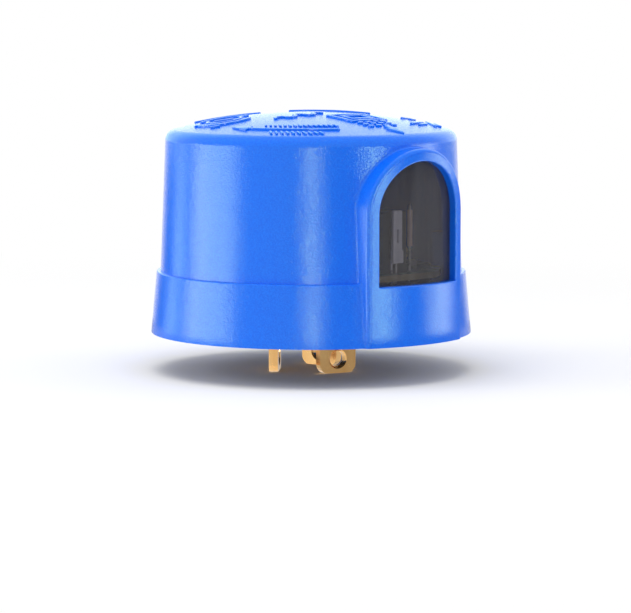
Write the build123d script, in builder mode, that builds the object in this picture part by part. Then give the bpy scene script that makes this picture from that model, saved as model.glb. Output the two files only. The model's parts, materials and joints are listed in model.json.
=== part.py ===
from build123d import *
import os
from math import cos, radians, sin, sqrt

# A plug-in light sensor switch for an outdoor lamp, in millimetres.
# The origin is on its axis, on the plane where the gasket meets the socket.
# +Z points up through the dome and the window looks along -Y.

# Cover: skirt, ledge, drafted wall and dome
BODY_FOOT_R = 39.5
BODY_DRAFT = 1.5
LEDGE_WIDTH = 1.0
SKIRT_FLARE = 1.5
RIM_Z = -6.5
LEDGE_Z = 9.6
EAVE_Z = 46.0
DOME_RISE = 4.9
EAVE_ROUND = 3.0
WALL = 2.0
LEDGE_ROUND = 0.3
LEDGE_FLAT = 0.1

# Window frame and its smoked pane
FRAME_PROUD = 0.8
FRAME_BORDER = 3.1
FRAME_EAVE_LAP = 0.1
FRAME_ROUND = 0.9
FRAME_ROOT_ROUND = 0.5
FRAME_DEPTH = 2.1
FACE_STEP = 0.12
OPENING_HALF_WIDTH = 13.2
OPENING_ROUND = 0.35
SILL_DROP = 0.8
LENS_LAP = 1.8
LENS_FIT = 0.1
LENS_WALL = 1.8
LENS_SILL_LAP = 1.4

# Base plate, gasket and the screws that close the cover
SEAT_Z = 6.0
BASE_WALL = 3.5
BASE_FIT = 0.2
BASE_LEDGE = 0.8
BASE_CHAMFER = 0.5
GASKET_SCREW_GAP = 0.5
GASKET_WIDTH = 9.6
GASKET_RECESS = 0.5
GASKET_SIDE_FIT = 0.2
GASKET_GROOVES = 3
GASKET_GROOVE_DEPTH = 0.6
GASKET_GROOVE_WIDTH = 1.0
ISLAND_GAP = 3.5
ISLAND_Z = 0.8
ISLAND_ROUND = 0.6
HUB_R = 15.0
RIB_WALL = 1.4
RIB_LEAD_GAP = 0.3
SCREW_ANGLES = (90, 210, 330)
SCREW_WALL_INSET = 2.1
SCREW_CLEARANCE = 0.3
PILOT_FIT = 0.1
PILOT_SPARE = 1.0
COVER_SCREW = {"shank_r": 1.4, "length": 12.0, "head_r": 2.3, "head_height": 1.7}
POST_R = 2.9
POST_CAP = 3.5
HEAD_ROUND = 0.5
DRIVE_LENGTH = 2.6
DRIVE_WIDTH = 0.6
DRIVE_DEPTH = 0.8

# Twist-lock blades: line, load and neutral.
# Their angles are counted from the window's direction, anticlockwise from above.
BLADE_ANGLES = (-135.7, -15.7, 104.3)
BLADE_FOOT_WIDTH = 10.3
NEUTRAL_FOOT_EXTRA = 0.6
BLADE_CIRCLE_R = 9.35
BLADE_WALL = 2.4
BLADE_NECK_WIDTH = 6.3
BLADE_HEEL = 2.5
BLADE_SHOULDER = 0.6
BLADE_UPSET = 0.4
BLADE_UPSET_HEIGHT = 0.8
BLADE_TIP_Z = -16.8
BLADE_FOOT_HEIGHT = 7.2
BLADE_FOOT_ROUND = 2.3
BLADE_HOOK_ROUND = 0.8
BLADE_HOLE_R = 2.2
BLADE_HOLE_RISE = 3.7
BLADE_HOLE_CHAMFER = 0.35
BLADE_FIT = 0.1
TAIL_WIDTH = 3.2
TAIL_PROUD = 1.5
TAIL_FIT = 0.15

# Circuit board, screwed on three posts of the base
BOARD_GAP = 2.6
BOARD_WALL = 1.6
BOARD_SIDE_GAP = 3.5
BOARD_FRONT_MARGIN = 1.9
BOARD_NOTCH_FIT = 0.5
BOARD_POST_ANGLES = (90, 210, 330)
BOARD_POST_SPACING = 8.9
BOARD_POST_R = 2.8
BOARD_SCREW = {"shank_r": 1.1, "length": 4.8, "head_r": 2.1, "head_height": 1.5}
LEAD_R = 0.3
LEAD_HOLE_R = 0.45
LEAD_PROUD = 1.2
LEAD_BEND_R = 0.8

# Relay
RELAY_LENGTH = 19.0
RELAY_DEPTH = 15.0
RELAY_HEIGHT = 15.8
RELAY_X = -0.3
RELAY_BLADE_GAP = 2.45
RELAY_BASE_HEIGHT = 2.2
RELAY_BASE_LIP = 0.25
RELAY_ROUND = 0.6
RELAY_PIN_R = 0.5
RELAY_PIN_HOLE_R = 0.65
RELAY_PINS = ((-6.0, -6.0), (-6.0, 6.0), (8.0, 0.0), (6.0, -6.0), (6.0, 6.0))
RELAY_VENT_R = 0.6
RELAY_VENT_INSET = 2.0
RELAY_VENT_DEPTH = 0.3

# Light sensor and the slotted mask on its face
SENSOR_X = 3.5
SENSOR_RELAY_GAP = 0.4
SENSOR_WIDTH = 2.6
SENSOR_DEPTH = 1.4
SENSOR_HEIGHT = 8.6
SENSOR_RISE = 3.7
SENSOR_LEAD_PITCH = 1.6
SENSOR_ROUND = 0.4
MASK_WIDTH = 3.0
MASK_WALL = 0.8
MASK_RISE = 2.9
MASK_HEIGHT = 13.5
MASK_FOOT_HEIGHT = 3.2
MASK_STEP = 0.25
MASK_SLOT_WIDTH = 0.65
MASK_SLOT_HEIGHT = 3.4
MASK_SLOT_RISE = 6.9

# Fuse link, upright in its sleeve
FUSE_X = 12.9
FUSE_Y = -24.0
FUSE_R = 0.65
FUSE_RISE = 6.4
FUSE_LENGTH = 9.4
FUSE_RETURN_X = 1.6
FUSE_RETURN_Y = 1.8
FUSE_LOOP_RISE = 1.3

# Film capacitor that drops the mains voltage
FILM_LENGTH = 18.0
FILM_DEPTH = 8.5
FILM_HEIGHT = 14.5
FILM_X = -15.0
FILM_Y = 17.5
FILM_ROUND = 0.8
FILM_PITCH = 15.0

# Smoothing capacitor
CAN_R = 5.0
CAN_HEIGHT = 16.0
CAN_X = 19.0
CAN_Y = 17.0
CAN_ROUND = 0.8
CAN_GROOVE_RISE = 2.4
CAN_GROOVE_R = 0.45
CAN_PITCH = 5.0
CAN_SCORE_WIDTH = 0.5
CAN_SCORE_DEPTH = 0.2

# Varistor disc, standing on edge
DISC_R = 6.0
DISC_WALL = 4.0
DISC_X = -26.5
DISC_Y = 0.0
DISC_RISE = 2.6
DISC_PITCH = 7.5
DISC_ROUND = 1.2

# Parts that lie on the board: body, end bead, lead pitch and the middle of each body
RESISTOR = {"r": 1.15, "waist_r": 1.0, "length": 6.3, "bead": 1.5, "pitch": 10.2}
RESISTOR_PLACES = ((-16.2, -7.5), (-16.2, -3.9), (-16.2, -0.3), (-16.2, 3.3))
DIODE = {"r": 1.35, "waist_r": 1.35, "length": 5.2, "bead": 1.0, "pitch": 9.0}
DIODE_PLACES = ((17.9, -6.0), (17.9, -2.0), (17.9, 2.0), (17.9, 6.0))
DROPPER = {"r": 2.2, "waist_r": 2.0, "length": 12.0, "bead": 2.4, "pitch": 17.0}
DROPPER_PLACES = ((27.4, 0.0),)
LYING_RISE = 0.3

# Transistor and timer chip
TRANSISTOR_X = 4.5
TRANSISTOR_CHIP_PITCH = 7.2
TRANSISTOR_R = 2.4
TRANSISTOR_FLAT = 1.3
TRANSISTOR_HEIGHT = 4.7
TRANSISTOR_RISE = 2.6
TRANSISTOR_PITCH = 1.4
CHIP_LENGTH = 9.6
CHIP_DEPTH = 6.3
CHIP_HEIGHT = 3.3
CHIP_X = 3.4
CHIP_POST_PITCH = 6.9
CHIP_RISE = 0.7
CHIP_PINS_A_SIDE = 4
CHIP_PIN_PITCH = 2.54
CHIP_ROW_PITCH = 7.62
CHIP_PIN_WIDTH = 0.5
CHIP_PIN_WALL = 0.3
CHIP_NOTCH_R = 0.8
CHIP_NOTCH_DEPTH = 0.4
CHIP_CHAMFER = 0.4

# Solder round the tails of the blades
SOLDER_RISE = 1.0
SOLDER_FOOT_WIDTH = 0.45

# Two places that lie this close together count as one
NEAR = 0.01

# Worked out from the sizes above
BODY_TOP_R = BODY_FOOT_R - BODY_DRAFT
SKIRT_TOP_R = BODY_FOOT_R + LEDGE_WIDTH
SKIRT_RIM_R = SKIRT_TOP_R + SKIRT_FLARE
CROWN_Z = EAVE_Z + DOME_RISE
FRAME_R = SKIRT_RIM_R + FRAME_PROUD
FRAME_HALF_WIDTH = OPENING_HALF_WIDTH + FRAME_BORDER
FACE_R = FRAME_R + FACE_STEP
FACE_HALF_WIDTH = FRAME_HALF_WIDTH - FRAME_ROUND - FACE_STEP
ARCH_Z = EAVE_Z - EAVE_ROUND + FRAME_EAVE_LAP - FRAME_HALF_WIDTH
SILL_Z = LEDGE_Z - SILL_DROP
ROOT_ROUND = min(FRAME_ROOT_ROUND, LEDGE_WIDTH - LEDGE_ROUND - LEDGE_FLAT)
BASE_R = BODY_FOOT_R - WALL + BASE_LEDGE
BASE_Z = SEAT_Z - BASE_WALL
SCREW_CIRCLE_R = BODY_FOOT_R - WALL - SCREW_WALL_INSET
PILOT_DEPTH = COVER_SCREW["length"] - BASE_WALL + PILOT_SPARE
POST_TOP_Z = SEAT_Z + PILOT_DEPTH + POST_CAP
GASKET_OUT_R = SCREW_CIRCLE_R - COVER_SCREW["head_r"] - GASKET_SCREW_GAP
GASKET_IN_R = GASKET_OUT_R - GASKET_WIDTH
GASKET_GROOVE_PITCH = (GASKET_OUT_R - GASKET_IN_R) / (GASKET_GROOVES + 1)
ISLAND_R = GASKET_IN_R - ISLAND_GAP
LENS_OUT_R = FRAME_R - FRAME_DEPTH
BOARD_Z = SEAT_Z + BOARD_GAP
BOARD_TOP_Z = BOARD_Z + BOARD_WALL
BOARD_R = BODY_FOOT_R - WALL - BOARD_SIDE_GAP
BOARD_POST_CIRCLE_R = SCREW_CIRCLE_R - BOARD_POST_SPACING
LEAD_TIP_Z = BOARD_Z - LEAD_PROUD
RIB_HEIGHT = BOARD_GAP - LEAD_PROUD - RIB_LEAD_GAP
RELAY_Y = -BLADE_CIRCLE_R - RELAY_BLADE_GAP - RELAY_DEPTH / 2
SENSOR_FACE_Y = RELAY_Y - RELAY_DEPTH / 2 - SENSOR_RELAY_GAP - SENSOR_DEPTH
BOARD_FRONT_Y = SENSOR_FACE_Y - BOARD_FRONT_MARGIN
CHIP_Y = BOARD_POST_CIRCLE_R - CHIP_POST_PITCH
TRANSISTOR_Y = CHIP_Y - TRANSISTOR_CHIP_PITCH
OPENING_TOP_Z = ARCH_Z + OPENING_HALF_WIDTH
POCKET_HALF_WIDTH = OPENING_HALF_WIDTH + LENS_LAP
POCKET_Z = SILL_Z - LENS_SILL_LAP
COVER_HEIGHT = CROWN_Z - RIM_Z
BEYOND_R = FRAME_R + SKIRT_RIM_R
LINE_ANGLE, LOAD_ANGLE, NEUTRAL_ANGLE = BLADE_ANGLES
TAIL_MIDDLE = BLADE_NECK_WIDTH / 2 - BLADE_HEEL
TAIL_TOP_Z = BOARD_TOP_Z + TAIL_PROUD
FUSE_Z = BOARD_TOP_Z + FUSE_RISE
MASK_Z = BOARD_TOP_Z + MASK_RISE
DISC_Z = BOARD_TOP_Z + DISC_RISE + DISC_R
CHIP_PIN_Z = BOARD_TOP_Z + CHIP_RISE + CHIP_HEIGHT / 2


def on_circle(radius, angles):
    """Points on a circle about the axis, one for each angle."""
    return [(radius * cos(radians(a)), radius * sin(radians(a))) for a in angles]


def blade_place(angle):
    """Where a blade's plane crosses the seating plane: X along the blade, Y towards the axis."""
    return Location(
        (BLADE_CIRCLE_R * sin(radians(angle)), -BLADE_CIRCLE_R * cos(radians(angle)), 0), (0, 0, angle)
    )


def lying_lead_places(places, kind):
    """Both lead holes of each part that lies along X."""
    return [(x + side * kind["pitch"] / 2, y) for x, y in places for side in (-1, 1)]


COVER_SCREW_PLACES = on_circle(SCREW_CIRCLE_R, SCREW_ANGLES)
BOARD_POST_PLACES = on_circle(BOARD_POST_CIRCLE_R, BOARD_POST_ANGLES)
RELAY_PIN_PLACES = [(RELAY_X + x, RELAY_Y + y) for x, y in RELAY_PINS]
SENSOR_LEAD_PLACES = [
    (SENSOR_X + side * SENSOR_LEAD_PITCH / 2, SENSOR_FACE_Y + SENSOR_DEPTH / 2) for side in (-1, 1)
]
FUSE_LEAD_PLACES = [(FUSE_X, FUSE_Y), (FUSE_X + FUSE_RETURN_X, FUSE_Y + FUSE_RETURN_Y)]
FILM_LEAD_PLACES = [(FILM_X + side * FILM_PITCH / 2, FILM_Y) for side in (-1, 1)]
CAN_LEAD_PLACES = [(CAN_X + side * CAN_PITCH / 2, CAN_Y) for side in (-1, 1)]
DISC_LEAD_PLACES = [(DISC_X, DISC_Y + side * DISC_PITCH / 2) for side in (-1, 1)]
RESISTOR_LEAD_PLACES = lying_lead_places(RESISTOR_PLACES, RESISTOR)
DIODE_LEAD_PLACES = lying_lead_places(DIODE_PLACES, DIODE)
DROPPER_LEAD_PLACES = [
    (x, y + side * DROPPER["pitch"] / 2) for x, y in DROPPER_PLACES for side in (-1, 1)
]
TRANSISTOR_LEAD_PLACES = [(TRANSISTOR_X + step * TRANSISTOR_PITCH, TRANSISTOR_Y) for step in (-1, 0, 1)]
CHIP_PIN_X = [
    CHIP_X + (pin - (CHIP_PINS_A_SIDE - 1) / 2) * CHIP_PIN_PITCH for pin in range(CHIP_PINS_A_SIDE)
]
CHIP_PIN_PLACES = [(x, CHIP_Y + side * CHIP_ROW_PITCH / 2) for x in CHIP_PIN_X for side in (-1, 1)]
LEAD_HOLE_PLACES = (
    SENSOR_LEAD_PLACES + FUSE_LEAD_PLACES + FILM_LEAD_PLACES + CAN_LEAD_PLACES
    + DISC_LEAD_PLACES + RESISTOR_LEAD_PLACES + DIODE_LEAD_PLACES + DROPPER_LEAD_PLACES
    + TRANSISTOR_LEAD_PLACES + CHIP_PIN_PLACES
)


def arch_face(half_width, foot_z):
    """Straight-sided arch seen from the front, round at the top."""
    with BuildSketch(Plane.XZ) as arch:
        with BuildLine():
            Polyline((-half_width, ARCH_Z), (-half_width, foot_z), (half_width, foot_z))
            Line((half_width, foot_z), (half_width, ARCH_Z))
            ThreePointArc((half_width, ARCH_Z), (0, ARCH_Z + half_width), (-half_width, ARCH_Z))
        make_face()
    return arch.sketch


def dome_section(points, eave_r, eave_z, crown_z, eave_round):
    """Half section that starts with the given points and closes with a shallow dome."""
    dome_r = (eave_r ** 2 + (crown_z - eave_z) ** 2) / (2 * (crown_z - eave_z))
    middle_z = crown_z - dome_r + sqrt(dome_r ** 2 - eave_r ** 2 / 4)
    with BuildSketch(Plane.XZ) as section:
        with BuildLine():
            Polyline((0, points[0][1]), *points, (eave_r, eave_z))
            ThreePointArc((eave_r, eave_z), (eave_r / 2, middle_z), (0, crown_z))
            Line((0, crown_z), (0, points[0][1]))
        make_face()
        eave = section.vertices().sort_by_distance((eave_r, eave_z))[0]
        fillet(eave, eave_round)
    return section.sketch


def points_along(edge):
    """A point near each end of an edge and one at its middle."""
    return [edge.position_at(share) for share in (0.1, 0.5, 0.9)]


def follows_arch(edge, half_width):
    """True for an edge along the straight sides or the round top of an arch on the window side."""
    for point in points_along(edge):
        reach = abs(point.X) if point.Z < ARCH_Z else sqrt(point.X ** 2 + (point.Z - ARCH_Z) ** 2)
        if abs(reach - half_width) > NEAR or point.Y > 0:
            return False
    return True


def runs_along(edge):
    """False for an edge that crosses the side of the frame to its front, or lies on the rim."""
    crosses_ledge = abs(edge.position_at(0.5).Z - LEDGE_Z) < 2 * LEDGE_ROUND
    return crosses_ledge or edge.bounding_box().size.Z > FRAME_DEPTH


def lies_at(edge, radius):
    """True for an edge that lies on an upright cylinder about the axis."""
    return all(abs(sqrt(point.X ** 2 + point.Y ** 2) - radius) < NEAR for point in points_along(edge))


def in_opening(edge):
    """True for an edge round the window's opening, the sill with it."""
    middle = edge.position_at(0.5)
    in_width = abs(middle.X) < OPENING_HALF_WIDTH + NEAR
    return in_width and middle.Y < 0 and SILL_Z - NEAR < middle.Z < OPENING_TOP_Z + NEAR


def stand(places, radius, foot_z, top_z):
    """Upright round pins, one at each place."""
    with BuildPart() as pins:
        with BuildSketch(Plane.XY.offset(foot_z)):
            with Locations(*places):
                Circle(radius)
        extrude(amount=top_z - foot_z)
    return pins.part


def pan_screws(places, seat_z, head_side, kind):
    """Pan-head screws with a cross slot; head_side is +1 for a head above its seat, -1 below."""
    head_z = seat_z + head_side * kind["head_height"]
    with BuildPart() as screws:
        with BuildSketch(Plane.XY.offset(seat_z)):
            with Locations(*places):
                Circle(kind["head_r"])
        extrude(amount=head_side * kind["head_height"])
        rims = screws.edges().filter_by(GeomType.CIRCLE)
        fillet(rims.filter_by_position(Axis.Z, head_z - NEAR, head_z + NEAR), HEAD_ROUND)
        with BuildSketch(Plane.XY.offset(head_z)):
            with Locations(*places):
                Rectangle(DRIVE_LENGTH, DRIVE_WIDTH)
                Rectangle(DRIVE_WIDTH, DRIVE_LENGTH)
        extrude(amount=-head_side * DRIVE_DEPTH, mode=Mode.SUBTRACT)
        with BuildSketch(Plane.XY.offset(seat_z)):
            with Locations(*places):
                Circle(kind["shank_r"])
        extrude(amount=-head_side * kind["length"])
    return screws.part


def bent_lead(*points):
    """Round wire along straight runs with equal bends."""
    with BuildPart() as lead:
        with BuildLine() as path:
            FilletPolyline(*points, radius=LEAD_BEND_R)
        with BuildSketch(Plane(origin=path.line @ 0, z_dir=path.line % 0)):
            Circle(LEAD_R)
        sweep(path=path.line)
    return lead.part


def lying_bodies(places, kind, turn):
    """Round bodies that lie on the board, thicker at the ends where the caps are pressed on."""
    axis_z = BOARD_TOP_Z + LYING_RISE + kind["r"]
    end_offset = (kind["length"] - kind["bead"]) / 2
    with BuildPart() as bodies:
        for x, y in places:
            with Locations(Location((x, y, axis_z), (0, 0, turn))):
                Cylinder(kind["waist_r"], kind["length"], rotation=(0, 90, 0))
                with Locations((-end_offset, 0, 0), (end_offset, 0, 0)):
                    Cylinder(kind["r"], kind["bead"], rotation=(0, 90, 0))
    return bodies.part


def lying_leads(places, kind, turn):
    """Both leads of each lying part: out of the body's end, then down through the board."""
    axis_z = BOARD_TOP_Z + LYING_RISE + kind["r"]
    along = Vector(cos(radians(turn)), sin(radians(turn)), 0)
    with BuildPart() as leads:
        for x, y in places:
            for side in (-1, 1):
                body_end = Vector(x, y, axis_z) + along * (side * kind["length"] / 2)
                corner = Vector(x, y, axis_z) + along * (side * kind["pitch"] / 2)
                add(bent_lead(body_end, corner, Vector(corner.X, corner.Y, LEAD_TIP_Z)))
    return leads.part


# Cover

with BuildPart() as hollow:
    revolve(
        dome_section(
            [(SKIRT_RIM_R - WALL, RIM_Z), (BASE_R + BASE_FIT, SEAT_Z), (BODY_FOOT_R - WALL, SEAT_Z)],
            BODY_TOP_R - WALL, EAVE_Z - WALL, CROWN_Z - WALL, EAVE_ROUND - WALL / 2,
        ),
        axis=Axis.Z,
    )

with BuildPart() as lens_pocket:
    extrude(arch_face(POCKET_HALF_WIDTH, POCKET_Z), amount=BEYOND_R)
    with BuildSketch(Plane.XY.offset(RIM_Z)):
        Circle(LENS_OUT_R)
    extrude(amount=COVER_HEIGHT, mode=Mode.INTERSECT)

with BuildPart() as window_frame:
    extrude(arch_face(FRAME_HALF_WIDTH, RIM_Z), amount=BEYOND_R)
    with BuildSketch(Plane.XY.offset(RIM_Z)):
        Circle(FRAME_R)
    extrude(amount=COVER_HEIGHT, mode=Mode.INTERSECT)

with BuildPart() as frame_face:
    extrude(arch_face(FACE_HALF_WIDTH, RIM_Z), amount=BEYOND_R)
    with BuildSketch(Plane.XY.offset(RIM_Z)):
        Circle(FACE_R)
        Circle(SKIRT_RIM_R, mode=Mode.SUBTRACT)
    extrude(amount=COVER_HEIGHT, mode=Mode.INTERSECT)

with BuildPart() as cover:
    revolve(
        dome_section(
            [(SKIRT_RIM_R, RIM_Z), (SKIRT_TOP_R, LEDGE_Z), (BODY_FOOT_R, LEDGE_Z)],
            BODY_TOP_R, EAVE_Z, CROWN_Z, EAVE_ROUND,
        ),
        axis=Axis.Z,
    )
    skirt_top = cover.edges().filter_by(lambda edge: abs(edge.position_at(0.5).Z - LEDGE_Z) < NEAR)
    fillet(skirt_top.sort_by(SortBy.RADIUS)[-1], LEDGE_ROUND)
    add(window_frame.part)
    add(hollow.part, mode=Mode.SUBTRACT)
    outline = cover.edges().filter_by(lambda edge: follows_arch(edge, FRAME_HALF_WIDTH))
    fillet(outline.filter_by(lambda edge: runs_along(edge) and not lies_at(edge, FRAME_R)), ROOT_ROUND)
    outline = cover.edges().filter_by(lambda edge: follows_arch(edge, FRAME_HALF_WIDTH))
    fillet(outline.filter_by(lambda edge: runs_along(edge) and lies_at(edge, FRAME_R)), FRAME_ROUND)
    add(frame_face.part)
    add(lens_pocket.part, mode=Mode.SUBTRACT)
    extrude(arch_face(OPENING_HALF_WIDTH, SILL_Z), amount=BEYOND_R, mode=Mode.SUBTRACT)
    opening = cover.edges().filter_by(lambda edge: lies_at(edge, FACE_R) and in_opening(edge))
    fillet(opening, OPENING_ROUND)
    with BuildSketch(Plane.XY.offset(SEAT_Z)):
        with Locations(*COVER_SCREW_PLACES):
            Circle(POST_R)
    extrude(amount=POST_TOP_Z - SEAT_Z)
    with BuildSketch(Plane.XY.offset(SEAT_Z)):
        with Locations(*COVER_SCREW_PLACES):
            Circle(COVER_SCREW["shank_r"] + PILOT_FIT)
    extrude(amount=PILOT_DEPTH, mode=Mode.SUBTRACT)

with BuildPart() as window_lens:
    extrude(arch_face(POCKET_HALF_WIDTH - LENS_FIT, POCKET_Z + LENS_FIT), amount=BEYOND_R)
    with BuildSketch(Plane.XY.offset(RIM_Z)):
        Circle(LENS_OUT_R)
        Circle(LENS_OUT_R - LENS_WALL, mode=Mode.SUBTRACT)
    extrude(amount=COVER_HEIGHT, mode=Mode.INTERSECT)

# Base plate: a disc with an island round the blades, a land for the gasket and posts for the board

with BuildPart() as base_plate:
    with BuildSketch(Plane.XY.offset(BASE_Z)):
        Circle(BASE_R)
    extrude(amount=BASE_WALL)
    chamfer(base_plate.edges().sort_by(Axis.Z)[0], BASE_CHAMFER)
    with BuildSketch(Plane.XY.offset(ISLAND_Z)):
        Circle(ISLAND_R)
    extrude(amount=BASE_Z - ISLAND_Z)
    fillet(base_plate.edges().sort_by(Axis.Z)[0], ISLAND_ROUND)
    with BuildSketch(Plane.XY.offset(BASE_Z)):
        Circle(GASKET_OUT_R + GASKET_SIDE_FIT)
        Circle(GASKET_IN_R - GASKET_SIDE_FIT, mode=Mode.SUBTRACT)
    extrude(amount=GASKET_RECESS, mode=Mode.SUBTRACT)
    with BuildSketch(Plane.XY.offset(SEAT_Z)):
        Circle(HUB_R + RIB_WALL)
        Circle(HUB_R, mode=Mode.SUBTRACT)
        for angle in BOARD_POST_ANGLES:
            with PolarLocations((HUB_R + BOARD_POST_CIRCLE_R) / 2, 1, start_angle=angle):
                Rectangle(BOARD_POST_CIRCLE_R - HUB_R - RIB_WALL / 2, RIB_WALL)
    extrude(amount=RIB_HEIGHT)
    add(stand(BOARD_POST_PLACES, BOARD_POST_R, SEAT_Z, BOARD_Z))
    add(
        stand(
            BOARD_POST_PLACES, BOARD_SCREW["shank_r"] + PILOT_FIT,
            BOARD_TOP_Z - BOARD_SCREW["length"] - PILOT_SPARE / 2, BOARD_Z,
        ),
        mode=Mode.SUBTRACT,
    )
    add(
        stand(COVER_SCREW_PLACES, COVER_SCREW["shank_r"] + SCREW_CLEARANCE, BASE_Z, SEAT_Z),
        mode=Mode.SUBTRACT,
    )
    with BuildSketch(Plane.XY.offset(ISLAND_Z)):
        for angle in BLADE_ANGLES:
            with Locations(blade_place(angle) * Location((TAIL_MIDDLE, 0, 0))):
                Rectangle(BLADE_NECK_WIDTH - 2 * BLADE_SHOULDER + 2 * BLADE_FIT, BLADE_WALL + 2 * BLADE_FIT)
    extrude(amount=SEAT_Z - ISLAND_Z, mode=Mode.SUBTRACT)

# Gasket: a soft ring with sealing grooves in its lower face

with BuildPart() as seat_gasket:
    with BuildSketch(Plane.XY):
        Circle(GASKET_OUT_R)
        Circle(GASKET_IN_R, mode=Mode.SUBTRACT)
    extrude(amount=BASE_Z + GASKET_RECESS)
    for groove in range(GASKET_GROOVES):
        groove_r = GASKET_IN_R + (groove + 1) * GASKET_GROOVE_PITCH
        with BuildSketch(Plane.XY):
            Circle(groove_r + GASKET_GROOVE_WIDTH / 2)
            Circle(groove_r - GASKET_GROOVE_WIDTH / 2, mode=Mode.SUBTRACT)
        extrude(amount=GASKET_GROOVE_DEPTH, mode=Mode.SUBTRACT)


# Blades

def hook_blade(angle, foot_width):
    """Flat blade: hooked foot, neck, shoulders under the island, staked shank and a tail for the board."""
    place = blade_place(angle)
    plane = Plane(
        origin=place.position,
        x_dir=(cos(radians(angle)), sin(radians(angle)), 0),
        z_dir=(sin(radians(angle)), -cos(radians(angle)), 0),
    )
    heel = -BLADE_HEEL
    neck = heel + BLADE_NECK_WIDTH
    toe = heel + foot_width
    foot_top = BLADE_TIP_Z + BLADE_FOOT_HEIGHT
    with BuildPart() as blade:
        with BuildSketch(plane) as profile:
            with BuildLine():
                Polyline((heel, ISLAND_Z), (heel, BLADE_TIP_Z), (toe, BLADE_TIP_Z), (toe, foot_top))
                Polyline((toe, foot_top), (neck, foot_top), (neck, ISLAND_Z), (heel, ISLAND_Z))
            make_face()
            fillet(profile.vertices().group_by(Axis.Y)[0], BLADE_FOOT_ROUND)
            hook = profile.vertices().filter_by_position(Axis.Y, foot_top - NEAR, foot_top + NEAR)
            fillet(hook, BLADE_HOOK_ROUND)
            shank_width = BLADE_NECK_WIDTH - 2 * BLADE_SHOULDER
            with Locations((TAIL_MIDDLE, ISLAND_Z)):
                Rectangle(shank_width, SEAT_Z - ISLAND_Z, align=(Align.CENTER, Align.MIN))
            with Locations((TAIL_MIDDLE, SEAT_Z)):
                upset_width = shank_width + 2 * BLADE_UPSET
                Rectangle(upset_width, BLADE_UPSET_HEIGHT, align=(Align.CENTER, Align.MIN))
                Rectangle(TAIL_WIDTH, TAIL_TOP_Z - SEAT_Z, align=(Align.CENTER, Align.MIN))
            with Locations(((heel + toe) / 2, BLADE_TIP_Z + BLADE_HOLE_RISE)):
                Circle(BLADE_HOLE_R, mode=Mode.SUBTRACT)
        extrude(amount=BLADE_WALL / 2, both=True)
        rims = blade.edges().filter_by(GeomType.CIRCLE)
        chamfer(rims.filter_by(lambda edge: abs(edge.radius - BLADE_HOLE_R) < NEAR), BLADE_HOLE_CHAMFER)
    return blade.part


blades = {
    "line_blade": hook_blade(LINE_ANGLE, BLADE_FOOT_WIDTH),
    "load_blade": hook_blade(LOAD_ANGLE, BLADE_FOOT_WIDTH),
    "neutral_blade": hook_blade(NEUTRAL_ANGLE, BLADE_FOOT_WIDTH + NEUTRAL_FOOT_EXTRA),
}

# Circuit board

with BuildPart() as circuit_board:
    with BuildSketch(Plane.XY.offset(BOARD_Z)):
        Circle(BOARD_R)
        with Locations((0, BOARD_FRONT_Y)):
            Rectangle(2 * BOARD_R, BOARD_R, align=(Align.CENTER, Align.MAX), mode=Mode.SUBTRACT)
        with Locations(*COVER_SCREW_PLACES):
            Circle(POST_R + BOARD_NOTCH_FIT, mode=Mode.SUBTRACT)
        with Locations(*BOARD_POST_PLACES):
            Circle(BOARD_SCREW["shank_r"] + SCREW_CLEARANCE, mode=Mode.SUBTRACT)
        with Locations(*RELAY_PIN_PLACES):
            Circle(RELAY_PIN_HOLE_R, mode=Mode.SUBTRACT)
        with Locations(*LEAD_HOLE_PLACES):
            Circle(LEAD_HOLE_R, mode=Mode.SUBTRACT)
        for angle in BLADE_ANGLES:
            with Locations(blade_place(angle) * Location((TAIL_MIDDLE, 0, 0))):
                Rectangle(TAIL_WIDTH + 2 * TAIL_FIT, BLADE_WALL + 2 * TAIL_FIT, mode=Mode.SUBTRACT)
    extrude(amount=BOARD_WALL)

# Solder fillets round the tails

with BuildPart() as blade_solder:
    for angle in BLADE_ANGLES:
        with BuildSketch(Plane.XY.offset(BOARD_TOP_Z)):
            with Locations(blade_place(angle) * Location((TAIL_MIDDLE, 0, 0))):
                Rectangle(TAIL_WIDTH + 2 * SOLDER_FOOT_WIDTH, BLADE_WALL + 2 * SOLDER_FOOT_WIDTH)
        with BuildSketch(Plane.XY.offset(BOARD_TOP_Z + SOLDER_RISE)):
            with Locations(blade_place(angle) * Location((TAIL_MIDDLE, 0, 0))):
                Rectangle(TAIL_WIDTH, BLADE_WALL)
        loft()
    for blade in blades.values():
        add(blade, mode=Mode.SUBTRACT)

# Relay

with BuildPart() as relay_base:
    with BuildSketch(Plane.XY.offset(BOARD_TOP_Z)):
        with Locations((RELAY_X, RELAY_Y)):
            Rectangle(RELAY_LENGTH + 2 * RELAY_BASE_LIP, RELAY_DEPTH + 2 * RELAY_BASE_LIP)
    extrude(amount=RELAY_BASE_HEIGHT)
    fillet(relay_base.edges().filter_by(Axis.Z), RELAY_ROUND)

with BuildPart() as relay_case:
    with BuildSketch(Plane.XY.offset(BOARD_TOP_Z + RELAY_BASE_HEIGHT)):
        with Locations((RELAY_X, RELAY_Y)):
            Rectangle(RELAY_LENGTH, RELAY_DEPTH)
    extrude(amount=RELAY_HEIGHT - RELAY_BASE_HEIGHT)
    fillet(relay_case.edges().filter_by(Axis.Z) + relay_case.edges().group_by(Axis.Z)[-1], RELAY_ROUND)
    with BuildSketch(Plane.XY.offset(BOARD_TOP_Z + RELAY_HEIGHT)):
        with Locations((
            RELAY_X + RELAY_LENGTH / 2 - RELAY_VENT_INSET, RELAY_Y + RELAY_DEPTH / 2 - RELAY_VENT_INSET
        )):
            Circle(RELAY_VENT_R)
    extrude(amount=-RELAY_VENT_DEPTH, mode=Mode.SUBTRACT)

relay_pins = stand(RELAY_PIN_PLACES, RELAY_PIN_R, LEAD_TIP_Z, BOARD_TOP_Z)

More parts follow.
